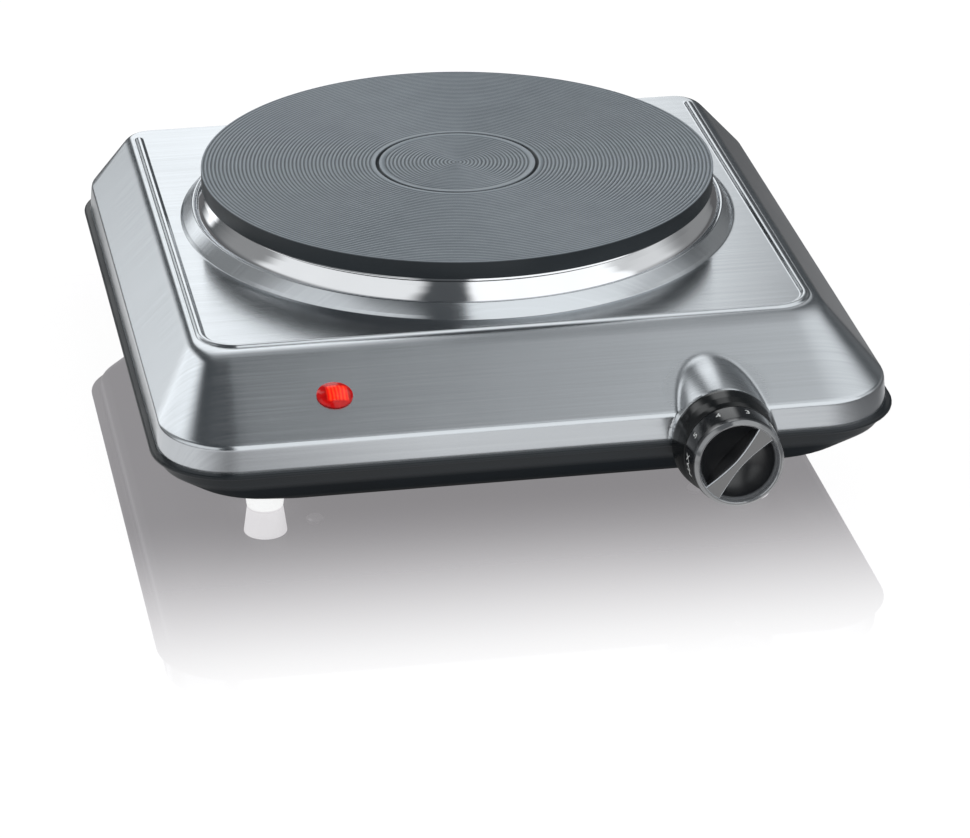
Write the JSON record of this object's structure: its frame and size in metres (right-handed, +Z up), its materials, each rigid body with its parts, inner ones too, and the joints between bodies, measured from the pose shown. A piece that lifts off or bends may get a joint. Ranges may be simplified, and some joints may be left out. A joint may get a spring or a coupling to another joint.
{
  "type": "hot plate burner",
  "caption": "Free-standing electric hot plate with a round cast plate, brushed steel hood, black pan, feet, red pilot lamp and a turning heat control",
  "frame": {"origin": "on the worktop, under the middle of the bounding box", "axes": "+Z up, -Y towards the front with the knob, +X to the right as seen from the front"},
  "size_m": [0.2492, 0.2816, 0.079],
  "materials": {
    "brushed_stainless": "fine horizontal brushing, satin",
    "chromed_steel": "polished",
    "cast_iron": "machined with fine concentric rings, dark protective coat",
    "black_enamel": "satin black enamel",
    "gloss_black": "polished moulded phenolic",
    "white_rubber": "matte",
    "red_lens": "clear red moulding",
    "lamp_glass": "small glow lamp",
    "zinc_steel": "zinc plated",
    "spring_steel": "bright spring steel",
    "aluminised_steel": "aluminised sheet",
    "heating_alloy": "oxidised resistance wire",
    "ceramic": "unglazed steatite",
    "bakelite": "brown-black phenolic",
    "white_plastic": "moulded",
    "brass": "bright",
    "brown_wire": "silicone insulation",
    "blue_wire": "silicone insulation",
    "earth_wire": "silicone insulation",
    "white_wire": "glass-braid sleeve"
  },
  "bodies": {
    "base": {"bottom_pan": "black_enamel", "bushing_nut": "brass", "clamp_bridge": "zinc_steel", "clamp_nut": "zinc_steel", "clamp_washer": "zinc_steel", "contact_spring": "brass", "cord_gland": "gloss_black", "earth_lug": "brass", "earth_screw": "zinc_steel", "foot_front_left": "white_rubber", "foot_front_right": "white_rubber", "foot_nut_front_left": "zinc_steel", "foot_nut_front_right": "zinc_steel", "foot_nut_rear_left": "zinc_steel", "foot_nut_rear_right": "zinc_steel", "foot_rear_left": "white_rubber", "foot_rear_right": "white_rubber", "foot_screw_front_left": "zinc_steel", "foot_screw_front_right": "zinc_steel", "foot_screw_rear_left": "zinc_steel", "foot_screw_rear_right": "zinc_steel", "gland_nut": "gloss_black", "heat_shield": "aluminised_steel", "heating_coil": "heating_alloy", "hot_plate": "cast_iron", "housing_post_front_left": "zinc_steel", "housing_post_front_right": "zinc_steel", "housing_post_rear_left": "zinc_steel", "housing_post_rear_right": "zinc_steel", "housing_screw_front_left": "zinc_steel", "housing_screw_front_right": "zinc_steel", "housing_screw_rear_left": "zinc_steel", "housing_screw_rear_right": "zinc_steel", "indicator_lamp": "lamp_glass", "indicator_lens": "red_lens", "insulation_disc": "ceramic", "knob_bezel": "gloss_black", "lamp_retainer": "spring_steel", "mains_terminal_block": "white_plastic", "plate_stud": "zinc_steel", "plate_terminal_block": "ceramic", "spill_ring": "chromed_steel", "thermal_cutout": "bakelite", "thermostat_body": "bakelite", "top_housing": "brushed_stainless", "wire_earth": "earth_wire", "wire_element_feed": "white_wire", "wire_lamp_live": "white_wire", "wire_lamp_neutral": "blue_wire", "wire_live": "brown_wire", "wire_neutral": "blue_wire", "wire_switched": "brown_wire"},
    "knob": {"control_knob": "gloss_black", "knob_spring_clip": "spring_steel", "control_shaft": "zinc_steel"},
    "regulator_pin": {"adjusting_pin": "ceramic"}
  },
  "joints": [
    {"name": "heat_control", "type": "hinge", "parent": "base", "child": "knob", "pos_m": [0.0615, -0.1167, 0.0371], "axis": [0, 0.9976, -0.0698], "range_deg": [-240, 30]},
    {"name": "regulator_travel", "type": "slide", "parent": "base", "child": "regulator_pin", "axis": [0, 0.9976, -0.0698], "range_m": [-0.0007, 0.0001]}
  ],
  "couplings": [
    {"joint": "regulator_travel", "follows": "heat_control", "m_per_rad": 0.000159}
  ]
}
